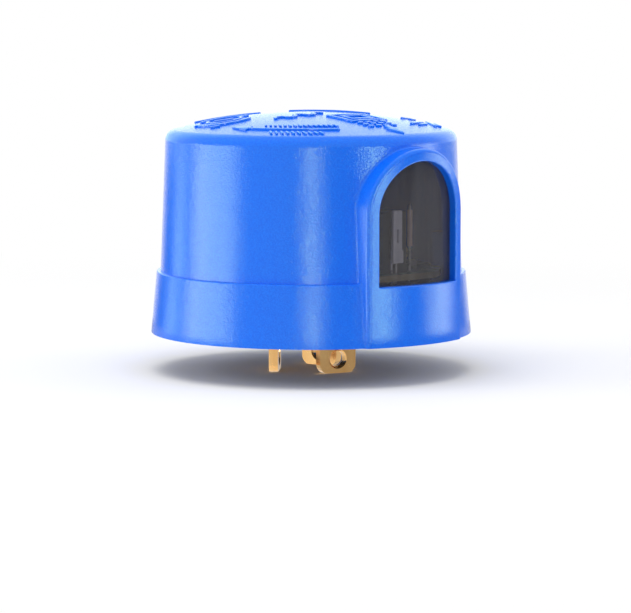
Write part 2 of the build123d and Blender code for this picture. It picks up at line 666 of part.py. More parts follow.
# Light sensor and its mask

with BuildPart() as light_sensor:
    with BuildSketch(Plane.XY.offset(BOARD_TOP_Z + SENSOR_RISE)):
        with Locations((SENSOR_X, SENSOR_FACE_Y)):
            Rectangle(SENSOR_WIDTH, SENSOR_DEPTH, align=(Align.CENTER, Align.MIN))
    extrude(amount=SENSOR_HEIGHT)
    back = light_sensor.edges().filter_by(Axis.Z).group_by(Axis.Y)[-1]
    fillet(back, SENSOR_ROUND)

sensor_leads = stand(SENSOR_LEAD_PLACES, LEAD_R, LEAD_TIP_Z, BOARD_TOP_Z + SENSOR_RISE)

with BuildPart() as sensor_mask:
    with BuildSketch(Plane.XY.offset(MASK_Z)):
        with Locations((SENSOR_X, SENSOR_FACE_Y)):
            Rectangle(MASK_WIDTH, MASK_WALL, align=(Align.CENTER, Align.MAX))
    extrude(amount=MASK_HEIGHT)
    with BuildSketch(Plane.XY.offset(MASK_Z)):
        with Locations((SENSOR_X, SENSOR_FACE_Y)):
            Rectangle(MASK_WIDTH + 2 * MASK_STEP, MASK_WALL + MASK_STEP, align=(Align.CENTER, Align.MAX))
    extrude(amount=MASK_FOOT_HEIGHT)
    with BuildSketch(Plane.XZ.offset(-SENSOR_FACE_Y)):
        with Locations((SENSOR_X, MASK_Z + MASK_SLOT_RISE)):
            Rectangle(MASK_SLOT_WIDTH, MASK_SLOT_HEIGHT)
    extrude(amount=MASK_WALL, mode=Mode.SUBTRACT)

# Fuse link: a sleeved body on one straight lead, the other lead loops over and comes down beside it

fuse_link = stand(FUSE_LEAD_PLACES[:1], FUSE_R, FUSE_Z, FUSE_Z + FUSE_LENGTH)
with BuildPart() as fuse_link_leads:
    add(stand(FUSE_LEAD_PLACES[:1], LEAD_R, LEAD_TIP_Z, FUSE_Z))
    loop_z = FUSE_Z + FUSE_LENGTH + FUSE_LOOP_RISE
    add(
        bent_lead(
            (FUSE_X, FUSE_Y, FUSE_Z + FUSE_LENGTH), (FUSE_X, FUSE_Y, loop_z),
            (*FUSE_LEAD_PLACES[1], loop_z), (*FUSE_LEAD_PLACES[1], LEAD_TIP_Z),
        )
    )

# Film capacitor

with BuildPart() as film_capacitor:
    with BuildSketch(Plane.XY.offset(BOARD_TOP_Z)):
        with Locations((FILM_X, FILM_Y)):
            Rectangle(FILM_LENGTH, FILM_DEPTH)
    extrude(amount=FILM_HEIGHT)
    box_edges = film_capacitor.edges()
    fillet(box_edges.filter_by(Axis.Z) + box_edges.group_by(Axis.Z)[-1], FILM_ROUND)

film_capacitor_leads = stand(FILM_LEAD_PLACES, LEAD_R, LEAD_TIP_Z, BOARD_TOP_Z)

# Smoothing capacitor: a can with a rolled groove near its foot and a scored top

with BuildPart() as smoothing_capacitor:
    with BuildSketch(Plane.XY.offset(BOARD_TOP_Z)):
        with Locations((CAN_X, CAN_Y)):
            Circle(CAN_R)
    extrude(amount=CAN_HEIGHT)
    fillet(smoothing_capacitor.edges().group_by(Axis.Z)[-1], CAN_ROUND)
    groove_middle = (CAN_X, CAN_Y, BOARD_TOP_Z + CAN_GROOVE_RISE)
    with BuildSketch(Plane(groove_middle, x_dir=(1, 0, 0), z_dir=(0, -1, 0))):
        with Locations((CAN_R, 0)):
            Circle(CAN_GROOVE_R)
    revolve(axis=Axis((CAN_X, CAN_Y, 0), (0, 0, 1)), mode=Mode.SUBTRACT)
    with BuildSketch(Plane.XY.offset(BOARD_TOP_Z + CAN_HEIGHT)):
        with Locations((CAN_X, CAN_Y)):
            Rectangle(CAN_R, CAN_SCORE_WIDTH)
            Rectangle(CAN_SCORE_WIDTH, CAN_R)
    extrude(amount=-CAN_SCORE_DEPTH, mode=Mode.SUBTRACT)

smoothing_capacitor_leads = stand(CAN_LEAD_PLACES, LEAD_R, LEAD_TIP_Z, BOARD_TOP_Z)

# Varistor

with BuildPart() as varistor:
    with Locations((DISC_X, DISC_Y, DISC_Z)):
        Cylinder(DISC_R, DISC_WALL, rotation=(0, 90, 0))
    fillet(varistor.edges().filter_by(GeomType.CIRCLE), DISC_ROUND)

with BuildPart() as varistor_leads:
    add(stand(DISC_LEAD_PLACES, LEAD_R, LEAD_TIP_Z, DISC_Z))
    add(varistor.part, mode=Mode.SUBTRACT)

# Transistor: a round body with a flat front, on three leads

with BuildPart() as transistor:
    with BuildSketch(Plane.XY.offset(BOARD_TOP_Z + TRANSISTOR_RISE)):
        with Locations((TRANSISTOR_X, TRANSISTOR_Y)):
            Circle(TRANSISTOR_R)
        with Locations((TRANSISTOR_X, TRANSISTOR_Y - TRANSISTOR_FLAT)):
            Rectangle(2 * TRANSISTOR_R, TRANSISTOR_R, align=(Align.CENTER, Align.MAX), mode=Mode.SUBTRACT)
    extrude(amount=TRANSISTOR_HEIGHT)

transistor_leads = stand(TRANSISTOR_LEAD_PLACES, LEAD_R, LEAD_TIP_Z, BOARD_TOP_Z + TRANSISTOR_RISE)

# Timer chip

with BuildPart() as timer_chip:
    with BuildSketch(Plane.XY.offset(BOARD_TOP_Z + CHIP_RISE)):
        with Locations((CHIP_X, CHIP_Y)):
            Rectangle(CHIP_LENGTH, CHIP_DEPTH)
    extrude(amount=CHIP_HEIGHT)
    chamfer(timer_chip.edges().group_by(Axis.Z)[-1], CHIP_CHAMFER)
    with BuildSketch(Plane.XY.offset(BOARD_TOP_Z + CHIP_RISE + CHIP_HEIGHT)):
        with Locations((CHIP_X - CHIP_LENGTH / 2 + CHIP_CHAMFER, CHIP_Y)):
            Circle(CHIP_NOTCH_R)
    extrude(amount=-CHIP_NOTCH_DEPTH, mode=Mode.SUBTRACT)

with BuildPart() as chip_pins:
    for x in CHIP_PIN_X:
        with BuildSketch(Plane.YZ.offset(x)):
            for side in (-1, 1):
                row = CHIP_Y + side * CHIP_ROW_PITCH / 2
                shoulder = (CHIP_ROW_PITCH - CHIP_DEPTH + CHIP_PIN_WALL) / 2
                with Locations((CHIP_Y + side * CHIP_DEPTH / 2 + side * shoulder / 2, CHIP_PIN_Z)):
                    Rectangle(shoulder, CHIP_PIN_WALL)
                with Locations((row, CHIP_PIN_Z)):
                    Rectangle(CHIP_PIN_WALL, CHIP_PIN_Z - LEAD_TIP_Z, align=(Align.CENTER, Align.MAX))
        extrude(amount=CHIP_PIN_WIDTH / 2, both=True)

pieces = {
    "cover": cover.part,
    "window_lens": window_lens.part,
    "base_plate": base_plate.part,
    "seat_gasket": seat_gasket.part,
    "cover_screws": pan_screws(COVER_SCREW_PLACES, BASE_Z, -1, COVER_SCREW),
    **blades,
    "circuit_board": circuit_board.part,
    "board_screws": pan_screws(BOARD_POST_PLACES, BOARD_TOP_Z, 1, BOARD_SCREW),
    "blade_solder": blade_solder.part,
    "relay_base": relay_base.part,
    "relay_case": relay_case.part,
    "relay_pins": relay_pins,
    "light_sensor": light_sensor.part,
    "sensor_leads": sensor_leads,
    "sensor_mask": sensor_mask.part,
    "fuse_link": fuse_link,
    "fuse_link_leads": fuse_link_leads.part,
    "film_capacitor": film_capacitor.part,
    "film_capacitor_leads": film_capacitor_leads,
    "smoothing_capacitor": smoothing_capacitor.part,
    "smoothing_capacitor_leads": smoothing_capacitor_leads,
    "varistor": varistor.part,
    "varistor_leads": varistor_leads.part,
    "dropper_resistor": lying_bodies(DROPPER_PLACES, DROPPER, 90),
    "dropper_leads": lying_leads(DROPPER_PLACES, DROPPER, 90),
    "signal_resistors": lying_bodies(RESISTOR_PLACES, RESISTOR, 0),
    "resistor_leads": lying_leads(RESISTOR_PLACES, RESISTOR, 0),
    "rectifier_diodes": lying_bodies(DIODE_PLACES, DIODE, 0),
    "diode_leads": lying_leads(DIODE_PLACES, DIODE, 0),
    "transistor": transistor.part,
    "transistor_leads": transistor_leads,
    "timer_chip": timer_chip.part,
    "chip_pins": chip_pins.part,
}

os.makedirs("parts", exist_ok=True)
for name, piece in pieces.items():
    piece.label = name
    export_step(piece, f"parts/{name}.step")
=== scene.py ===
# %% [markdown]
# # A plug-in light switch in blue plastic
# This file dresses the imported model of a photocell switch: a blue moulded cover with an arched
# smoked window, standing on three brass blades. Everything is in metres, in the same frame as
# the model: the origin is on the axis where the gasket seats, +Z points up through the dome and
# the window looks along -Y. The first cell loads the model as a fixed frame. Nothing in it is
# moved; its pieces only get finishes, and raised marks are added on the dome.

# %% Load the model
import json
from math import atan2, cos, pi, radians, sin, tan

import bpy
from mathutils import Matrix, Vector


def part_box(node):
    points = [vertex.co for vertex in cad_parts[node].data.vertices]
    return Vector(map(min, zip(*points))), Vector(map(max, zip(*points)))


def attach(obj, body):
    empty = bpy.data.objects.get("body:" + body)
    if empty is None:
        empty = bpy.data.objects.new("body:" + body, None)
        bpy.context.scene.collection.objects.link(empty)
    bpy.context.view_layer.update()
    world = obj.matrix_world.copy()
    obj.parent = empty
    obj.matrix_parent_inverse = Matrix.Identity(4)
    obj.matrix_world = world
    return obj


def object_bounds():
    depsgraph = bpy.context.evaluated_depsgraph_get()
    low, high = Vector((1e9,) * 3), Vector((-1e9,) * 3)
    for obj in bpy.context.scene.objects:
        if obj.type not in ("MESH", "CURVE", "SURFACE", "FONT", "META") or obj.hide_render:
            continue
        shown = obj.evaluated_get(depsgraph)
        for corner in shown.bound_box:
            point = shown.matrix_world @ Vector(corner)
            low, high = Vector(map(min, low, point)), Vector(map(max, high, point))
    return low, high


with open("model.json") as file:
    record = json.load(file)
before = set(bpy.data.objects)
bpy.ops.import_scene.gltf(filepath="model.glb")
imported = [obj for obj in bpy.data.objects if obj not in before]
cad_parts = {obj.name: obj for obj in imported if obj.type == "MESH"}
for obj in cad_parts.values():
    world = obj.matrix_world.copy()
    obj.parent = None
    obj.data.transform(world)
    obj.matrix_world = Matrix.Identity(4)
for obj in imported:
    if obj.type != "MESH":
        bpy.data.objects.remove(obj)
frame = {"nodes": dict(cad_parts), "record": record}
nodes = frame["nodes"]
cad_box = [list(corner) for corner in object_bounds()]
MM = 0.001


def sizes_in_mm(box):
    """The three sizes of a box, in millimetres."""
    return [round((high - low) / MM, 1) for low, high in zip(*box)]


print("nodes", len(nodes), "size in mm", sizes_in_mm(cad_box))

# %% [markdown]
# ## Camera
# The picture was taken from a little above the ledge, turned to the left of the window, with a
# long lens. A long lens keeps the skirt's ellipse flat, so the distance matters as much as the
# angle. The camera's place is worked out from an azimuth, a height and a distance to the axis.

# %% Camera
AZIMUTH_DEGREES = -41.7
AZIMUTH = radians(AZIMUTH_DEGREES)
AXIS_DISTANCE = 787.62 * MM
ASIDE = 1.15 * MM
CAMERA_HEIGHT = 86.9 * MM
LOOK_DOWN = radians(6.314)
NEAR_CLIP = 10 * MM
SENSOR = 36.0
FOCAL_LENGTH = 171.87

into = Vector((-sin(AZIMUTH), cos(AZIMUTH), 0))
aside = Vector((cos(AZIMUTH), sin(AZIMUTH), 0))

camera_data = bpy.data.cameras.new("camera")
camera_data.sensor_width = SENSOR
camera_data.lens = FOCAL_LENGTH
camera_data.clip_start = NEAR_CLIP
camera = bpy.data.objects.new("camera", camera_data)
camera.location = -into * AXIS_DISTANCE + aside * ASIDE + Vector((0, 0, CAMERA_HEIGHT))
camera.rotation_euler = (pi / 2 - LOOK_DOWN, 0, AZIMUTH)
bpy.context.scene.collection.objects.link(camera)
bpy.context.scene.camera = camera
bpy.context.scene.view_settings.view_transform = "Standard"
print("camera at", [round(value, 3) for value in camera.location])

# %% [markdown]
# ## What the plastic reflects
# The plastic is glossy under a fine grain, so the bands that run down its wall are reflections of
# tall bright boards that stand round it, and the deep blue between them comes from dark boards. On
# a round wall a board shows where the wall's normal points half way to it, which gives each
# direction below. Only reflections see them: they light nothing, they cast no shadow and no camera
# shows them.

# %% Helpers for boards
def seen_from_camera(degrees_right, distance, height):
    """A point round the axis, turned so many degrees to the right of the camera's side."""
    turn = radians(degrees_right)
    return (-into * cos(turn) + aside * sin(turn)) * distance + Vector((0, 0, height))


def glowing(radiance, colour):
    """A plain glow; a radiance of 1 is as bright as the white world."""
    material = bpy.data.materials.new("board_glow")
    material.use_nodes = True
    tree = material.node_tree
    glow = tree.nodes.new("ShaderNodeEmission")
    glow.inputs["Color"].default_value = (*colour, 1)
    glow.inputs["Strength"].default_value = radiance
    tree.links.new(glow.outputs[0], tree.nodes["Material Output"].inputs["Surface"])
    material.cycles.emission_sampling = "NONE"
    return material


def board(name, from_degrees, to_degrees, radiance, colour, distance, centre, tall):
    """A board between two directions, in degrees to the right of the camera's side."""
    middle = (from_degrees + to_degrees) / 2
    width = 2 * distance * tan(radians(to_degrees - from_degrees) / 2)
    bpy.ops.object.select_all(action="DESELECT")
    bpy.ops.mesh.primitive_plane_add(size=1)
    piece = bpy.context.object
    piece.name = name
    piece.scale = (width, tall, 1)
    piece.location = seen_from_camera(middle, distance, centre)
    piece.rotation_euler = (pi / 2, 0, AZIMUTH + radians(middle))
    piece.visible_camera = piece.visible_diffuse = False
    piece.visible_transmission = piece.visible_shadow = False
    piece.data.materials.append(glowing(radiance, colour))
    print(name, "is", round(width, 3), "m wide, radiance", radiance)


# %% [markdown]
# ### Boards at the left
# One broad board gives the wide pale band at the left of the wall. Beyond a dark gap stands a
# narrower and bluer one, which shows as the stripe near the outline, and a dark one ends the
# row. The boards end just above the horizon: taller ones would also show on top of the dome and
# burn it out.

# %% Boards at the left
BOARD_DISTANCE = 0.9
STANDING = {"distance": BOARD_DISTANCE, "centre": -0.33, "tall": 0.94}
LOWER = {"distance": BOARD_DISTANCE, "centre": -0.39, "tall": 0.82}
PLAIN_WHITE = (0.96, 0.96, 1)
COOL_WHITE = (0.80, 0.93, 1)
COOLER_WHITE = (0.58, 0.80, 1)

board("left_broad_board", -101, -58, 6.3, PLAIN_WHITE, **STANDING)
board("left_gap_board", -109, -102, 0.2, COOL_WHITE, **LOWER)
board("left_narrow_board", -126, -110, 3.6, COOLER_WHITE, **LOWER)
board("left_dark_board", -152, -128, 0.3, COOLER_WHITE, **LOWER)

# %% [markdown]
# ### Boards at the front and the right
# A very narrow and very bright board gives the sharp highlight on the wall in front. The others
# take turns with dark ones, so that the window's frame stands out against the wall.

# %% Boards at the front and the right
board("front_board", -1.4, 3.4, 15.0, PLAIN_WHITE, **STANDING)
board("front_dark_board", 13, 35, 0.45, COOL_WHITE, **STANDING)
board("right_front_board", 41, 57, 7.8, COOL_WHITE, **STANDING)
board("right_dark_board", 64, 84, 0.55, COOL_WHITE, **STANDING)
board("right_board", 89, 112, 4.8, PLAIN_WHITE, **STANDING)
board("right_back_dark_board", 117, 150, 0.30, COOL_WHITE, **LOWER)

# %% [markdown]
# ### Boards behind
# The dome is seen almost edge on, so it mirrors what stands behind the object and above the
# horizon. Three pale boards hang there and make it the palest part of the cover.

# %% Boards behind
RAISED = {"distance": BOARD_DISTANCE, "centre": 0.67, "tall": 1.3}

board("left_back_board", 192, 232, 1.8, COOLER_WHITE, **RAISED)
board("back_board", 168, 192, 1.75, COOL_WHITE, **RAISED)
board("right_back_board", 128, 168, 1.6, COOL_WHITE, **RAISED)

# %% [markdown]
# ## Light
# Plain soft light comes from the white world and from three boxes: a large one overhead, which
# keeps the dome pale, and two weaker ones at the left and the right of the camera. A box is an
# area light that faces the object. It shows in no reflection, because the boards do that work.

# %% Soft boxes
AIM_HEIGHT = 0.02


def soft_box(name, degrees_right, distance, height, size, radiance):
    """A square area light that faces the axis; distance, height and size in metres."""
    place = seen_from_camera(degrees_right, distance, height)
    data = bpy.data.lights.new(name, "AREA")
    data.size = size
    data.energy = radiance * pi * size * size
    light = bpy.data.objects.new(name, data)
    light.location = place
    light.rotation_euler = (Vector((0, 0, AIM_HEIGHT)) - place).to_track_quat("-Z", "Y").to_euler()
    light.visible_glossy = False
    bpy.context.scene.collection.objects.link(light)
    print(name, "gives", round(data.energy, 2), "W")


soft_box("top_box", -30, distance=0.20, height=0.80, size=0.60, radiance=3.0)
soft_box("left_fill_box", -85, distance=0.80, height=0.25, size=0.50, radiance=2.6)
soft_box("right_fill_box", 95, distance=0.80, height=0.25, size=0.50, radiance=1.7)

# %% [markdown]
# ## World
# The world shows white to the camera, in reflections and through the window, and is a little
# weaker as light, because the box overhead adds to it. A light path node tells the kinds of ray
# apart, and a mix shader picks the one background or the other.

# %% Helpers for the world
def any_of(tree, sockets):
    """The largest of several numbers, as one socket."""
    result = sockets[0]
    for socket in sockets[1:]:
        larger = tree.nodes.new("ShaderNodeMath")
        larger.operation = "MAXIMUM"
        tree.links.new(result, larger.inputs[0])
        tree.links.new(socket, larger.inputs[1])
        result = larger.outputs[0]
    return result


def mixed_shaders(tree, factor, first, second):
    """The first shader where the factor is 0 and the second where it is 1."""
    mix = tree.nodes.new("ShaderNodeMixShader")
    for socket, slot in zip((factor, first, second), mix.inputs):
        tree.links.new(socket, slot)
    return mix.outputs[0]


def white_background(tree, strength):
    """White all round, at a strength."""
    node = tree.nodes.new("ShaderNodeBackground")
    node.inputs["Color"].default_value = (1, 1, 1, 1)
    node.inputs["Strength"].default_value = strength
    return node.outputs[0]


# %% World
WORLD_LIGHT = 0.70
WHITE_RAYS = ("Is Camera Ray", "Is Glossy Ray", "Is Transmission Ray")

world = bpy.data.worlds.new("studio")
world.use_nodes = True
bpy.context.scene.world = world
tree = world.node_tree
tree.nodes.clear()
rays = tree.nodes.new("ShaderNodeLightPath")
seen = any_of(tree, [rays.outputs[ray] for ray in WHITE_RAYS])
lighting, shown = white_background(tree, WORLD_LIGHT), white_background(tree, 1.0)
output = tree.nodes.new("ShaderNodeOutputWorld")
tree.links.new(mixed_shaders(tree, seen, lighting, shown), output.inputs["Surface"])
print("world nodes", len(tree.nodes))

# %% [markdown]
# ## Start of a finish
# The floor and every piece get a node material. Its patterns read object coordinates, so that
# they keep their real size and stay on the piece. These two helpers open such a material.

# %% Helpers for materials
def parts_of(material):
    """A finish's tree, its surface shader and its object coordinates."""
    tree = material.node_tree
    coordinates = tree.nodes["Texture Coordinate"].outputs["Object"]
    return tree, tree.nodes["Principled BSDF"], coordinates


def new_finish(name):
    """An empty finish: the material and its parts."""
    material = bpy.data.materials.new(name)
    material.use_nodes = True
    material.node_tree.nodes.new("ShaderNodeTexCoord")
    return material, *parts_of(material)


# %% [markdown]
# ## Floor
# The object stands on its blades on a plain white floor. The floor is matt near the object, so
# that it takes the shadow, and turns into plain white further out, so that no horizon shows. The
# length of the object coordinates gives the distance. The floor shows in no reflection, so that
# the boards do.

# %% Finish of the floor
FLOOR_COLOUR = (0.86, 0.86, 0.86)
FLOOR_ROUGHNESS = 0.9
FLOOR_SHINE = 0.1
SHADOW_REACH = (0.10, 0.34)

white_floor, tree, matt, coordinates = new_finish("white_floor")
matt.inputs["Base Color"].default_value = (*FLOOR_COLOUR, 1)
matt.inputs["Roughness"].default_value = FLOOR_ROUGHNESS
matt.inputs["Specular IOR Level"].default_value = FLOOR_SHINE
white = tree.nodes.new("ShaderNodeEmission")
distance = tree.nodes.new("ShaderNodeVectorMath")
distance.operation = "LENGTH"
tree.links.new(coordinates, distance.inputs[0])
fade = tree.nodes.new("ShaderNodeMapRange")
fade.interpolation_type = "SMOOTHSTEP"
fade.inputs["From Min"].default_value, fade.inputs["From Max"].default_value = SHADOW_REACH
tree.links.new(distance.outputs["Value"], fade.inputs["Value"])
surface = mixed_shaders(tree, fade.outputs[0], matt.outputs[0], white.outputs[0])
tree.links.new(surface, tree.nodes["Material Output"].inputs["Surface"])
print("shadow fades between", *SHADOW_REACH, "m")

# %% Floor
FLOOR_SIZE = 40.0

bpy.ops.object.select_all(action="DESELECT")
bpy.ops.mesh.primitive_plane_add(size=FLOOR_SIZE, location=(0, 0, cad_box[0][2]))
floor = bpy.context.object
floor.name = "floor"
floor.visible_glossy = False
floor.data.materials.append(white_floor)
print("floor at", round(cad_box[0][2] / MM, 1), "mm")

# %% [markdown]
# ## Low boards round the blades
# The polished blades would only mirror the tall bright boards, so a low ring of grey and white
# boards stands close round them, below the skirt. Like the tall boards it shows in reflections
# alone. Each board fills an equal share of the circle.

# %% Low boards round the blades
LOW_TOP = -5.5 * MM
LOW_TALL = 40 * MM
LOW_RING = {"distance": 50 * MM, "centre": LOW_TOP - LOW_TALL / 2, "tall": LOW_TALL}
LOW_RADIANCES = (0.42, 0.42, 0.70, 0.45, 0.90, 0.60, 1.00, 0.85)
LOW_SHARE = 360 / len(LOW_RADIANCES)

for number, radiance in enumerate(LOW_RADIANCES):
    start = LOW_SHARE * number
    board(f"low_board_{number}", start, start + LOW_SHARE, radiance, (1, 1, 1), **LOW_RING)

# %% [markdown]
# ## Finishes
# Every finish starts from the same three habits of a moulded or drawn surface: its colour
# drifts a little from place to place, its gloss drifts too, and it has a fine relief. A noise
# in object coordinates gives each of them, at a size in real millimetres. Colours are linear.
# Nearly all values of a noise lie in a narrow span, so that span is stretched first.

# %% Helpers for finishes
NOISE_LOW = 0.3
NOISE_HIGH = 0.7


def noise(tree, coordinates, size, detail=2.0):
    """A noise whose blots are about this many metres wide."""
    texture = tree.nodes.new("ShaderNodeTexNoise")
    texture.inputs["Scale"].default_value = 1 / size
    texture.inputs["Detail"].default_value = detail
    tree.links.new(coordinates, texture.inputs["Vector"])
    return texture.outputs["Fac"]


def between(tree, value, low, high):
    """A number that goes from low to high as value goes through a noise's span."""
    spread = tree.nodes.new("ShaderNodeMapRange")
    ends = {"From Min": NOISE_LOW, "From Max": NOISE_HIGH, "To Min": low, "To Max": high}
    for end, number in ends.items():
        spread.inputs[end].default_value = number
    tree.links.new(value, spread.inputs["Value"])
    return spread.outputs["Result"]


def blend_colours(tree, factor, first, second):
    """A colour between two; each is a colour or the socket of one."""
    mixer = tree.nodes.new("ShaderNodeMix")
    mixer.data_type = "RGBA"
    tree.links.new(factor, mixer.inputs["Factor"])
    for socket, colour in ((mixer.inputs["A"], first), (mixer.inputs["B"], second)):
        if isinstance(colour, tuple):
            socket.default_value = (*colour, 1)
        else:
            tree.links.new(colour, socket)
    return mixer.outputs["Result"]


def relief(tree, shader, height, depth):
    """A bump from a height socket, this many metres deep."""
    bump = tree.nodes.new("ShaderNodeBump")
    bump.inputs["Distance"].default_value = depth
    tree.links.new(height, bump.inputs["Height"])
    tree.links.new(bump.outputs["Normal"], shader.inputs["Normal"])


# %% [markdown]
# ## Blue cover
# The cover is moulded in a steel mould whose face was spark eroded, so it has a fine even grain
# that breaks up the edge of each reflection. The pits are less than half a millimetre wide, and
# each is a little deeper, darker and duller than the crests round it, so one noise drives
# relief, colour and gloss together. The blue is deep; what makes it pale on the dome and at both
# sides is the reflection, which grows towards a glancing view. A tint keeps the face-on
# reflections bluish.

# %% Blue grained plastic
SPECKLE_SIZE = 0.42 * MM
SPECKLE_DEPTH = 0.026 * MM
SPECKLE_GLOSS = (0.17, 0.05)
SPECKLE_BLUES = (0.0030, 0.122, 0.82), (0.0048, 0.162, 0.89)
SHINE_TINT = (0.70, 1, 0.2)

blue_plastic, tree, shader, coordinates = new_finish("blue_spark_grained_plastic")
speckle = between(tree, noise(tree, coordinates, SPECKLE_SIZE, detail=1.0), 0, 1)
tree.links.new(blend_colours(tree, speckle, *SPECKLE_BLUES), shader.inputs["Base Color"])
tree.links.new(between(tree, speckle, *SPECKLE_GLOSS), shader.inputs["Roughness"])
relief(tree, shader, speckle, SPECKLE_DEPTH)
shader.inputs["Specular Tint"].default_value = (*SHINE_TINT, 1)
print("grain", round(SPECKLE_SIZE / MM, 2), "mm wide and", round(SPECKLE_DEPTH / MM, 3), "deep")

# %% [markdown]
# ## Polished marks
# The raised marks are milled into the mould after the grain, so they come out smoother, and get a
# second finish of the same plastic. Its blue is a little lighter than the cover's: painted light,
# standing in for the light that the marks' rounded tops catch. It is the first one that uses the
# helper for plain finishes. A run below 1 along an axis draws the pattern out that way.

# %% Blue polished plastic
def plain_finish(name, colours, gloss, patch, grain, depth, metallic=0.0, run=(1, 1, 1)):
    """A finish with drifting colour and roughness and a fine grain; sizes in metres."""
    material, tree, shader, coordinates = new_finish(name)
    mapping = tree.nodes.new("ShaderNodeMapping")
    mapping.inputs["Scale"].default_value = run
    tree.links.new(coordinates, mapping.inputs["Vector"])
    pattern = mapping.outputs["Vector"]
    drift = noise(tree, pattern, patch)
    colour = blend_colours(tree, between(tree, drift, 0, 1), *colours)
    tree.links.new(colour, shader.inputs["Base Color"])
    tree.links.new(between(tree, drift, *gloss), shader.inputs["Roughness"])
    relief(tree, shader, noise(tree, pattern, grain, detail=3.0), depth)
    shader.inputs["Metallic"].default_value = metallic
    print(name, "has a grain of", round(grain / MM, 2), "mm")
    return material


# The blue is lighter than the cover's: painted light on the marks' rounded tops.
polished_plastic_painted_light = plain_finish(
    "blue_polished_plastic_painted_light", colours=((0.0060, 0.190, 0.82), (0.0080, 0.210, 0.85)),
    gloss=(0.12, 0.16), patch=12 * MM, grain=0.60 * MM, depth=0.01 * MM,
)

# %% [markdown]
# ## Smoked pane
# The pane is a clear grey plastic. Its colour takes away more than half of the light on the way
# in and again on the way out, so the inside is dim, and its polished face shows the white room.
# A faint flow pattern that runs up and down bends the reflections a little, as in any moulded
# pane. The same stretched pattern also streaks its grey up and down, paler and darker: painted
# reflection, standing in for the soft vertical streaks of light that the pane mirrors. The pane is
# thin and hardly shifts what is seen through it, so its index is kept low.

# %% Smoked plastic
PANE_CLEARNESS = 0.92
PANE_INDEX = 1.05

# Its grey drifts in upright streaks: painted reflection streaks.
smoked_plastic_painted_streaks = plain_finish(
    "smoked_clear_plastic_painted_streaks", colours=((0.42, 0.41, 0.43), (0.62, 0.61, 0.62)),
    gloss=(0.03, 0.06), patch=3.5 * MM, grain=5 * MM, depth=0.02 * MM, run=(1, 1, 0.06),
)
shader = smoked_plastic_painted_streaks.node_tree.nodes["Principled BSDF"]
shader.inputs["Transmission Weight"].default_value = PANE_CLEARNESS
shader.inputs["IOR"].default_value = PANE_INDEX

# %% [markdown]
# ## Brass, steel, tin and rubber
# The blades are punched from brass strip, so a fine rolled grain runs along them. The screws
# are zinc plated. Solder and tinned wire share a soft bright metal. The gasket is a foamed
# rubber with small pores.

# %% Metals and rubber
brass = plain_finish(
    "rolled_brass", colours=((0.84, 0.48, 0.18), (0.92, 0.57, 0.24)),
    gloss=(0.16, 0.24), patch=3 * MM, grain=0.5 * MM, depth=0.006 * MM,
    metallic=1.0, run=(1, 1, 0.25),
)
zinc = plain_finish(
    "zinc_plated_steel", colours=((0.52, 0.53, 0.50), (0.66, 0.66, 0.62)),
    gloss=(0.26, 0.40), patch=1.5 * MM, grain=0.25 * MM, depth=0.01 * MM, metallic=1.0,
)
tin = plain_finish(
    "tinned_copper", colours=((0.62, 0.62, 0.62), (0.78, 0.77, 0.75)),
    gloss=(0.22, 0.38), patch=1.2 * MM, grain=0.3 * MM, depth=0.008 * MM, metallic=1.0,
)
solder = plain_finish(
    "solder", colours=((0.55, 0.56, 0.58), (0.75, 0.76, 0.78)),
    gloss=(0.15, 0.34), patch=0.8 * MM, grain=0.7 * MM, depth=0.05 * MM, metallic=1.0,
)
rubber = plain_finish(
    "foamed_rubber", colours=((0.018, 0.018, 0.019), (0.034, 0.034, 0.035)),
    gloss=(0.72, 0.90), patch=2.5 * MM, grain=0.35 * MM, depth=0.05 * MM,
)

# %% [markdown]
# ## Parts behind the window
# Behind the window stand a dark relay, a light sensor with a pale slotted mask and a thin pink
# fuse link, above a dark grey base. Moulded plastics are never quite black or white, so even
# the darkest of them gives some light back.

# %% Finishes behind the window
base_plastic = plain_finish(
    "dark_grey_plastic", colours=((0.045, 0.047, 0.050), (0.062, 0.064, 0.068)),
    gloss=(0.36, 0.46), patch=7 * MM, grain=0.28 * MM, depth=0.012 * MM,
)
relay_plastic = plain_finish(
    "black_relay_plastic", colours=((0.020, 0.022, 0.020), (0.032, 0.035, 0.031)),
    gloss=(0.34, 0.44), patch=5 * MM, grain=0.3 * MM, depth=0.005 * MM,
)
relay_base_plastic = plain_finish(
    "relay_base_plastic", colours=((0.012, 0.012, 0.013), (0.020, 0.020, 0.021)),
    gloss=(0.45, 0.55), patch=4 * MM, grain=0.3 * MM, depth=0.01 * MM,
)
mask_plastic = plain_finish(
    "pale_grey_plastic", colours=((0.72, 0.72, 0.77), (0.80, 0.80, 0.84)),
    gloss=(0.40, 0.52), patch=3 * MM, grain=0.25 * MM, depth=0.008 * MM,
)
sensor_epoxy = plain_finish(
    "smoked_epoxy", colours=((0.050, 0.050, 0.056), (0.080, 0.080, 0.088)),
    gloss=(0.18, 0.28), patch=2 * MM, grain=0.6 * MM, depth=0.01 * MM,
)
fuse_sleeve = plain_finish(
    "pink_sleeve", colours=((0.92, 0.68, 0.60), (0.95, 0.76, 0.68)),
    gloss=(0.35, 0.50), patch=2 * MM, grain=0.3 * MM, depth=0.015 * MM,
)

# %% [markdown]
# ## Parts out of sight
# The rest of the board is hidden by the cover, but each part still has the look that it is
# known by: a box of yellow plastic, a disc dipped in ochre lacquer and a chip in black epoxy.

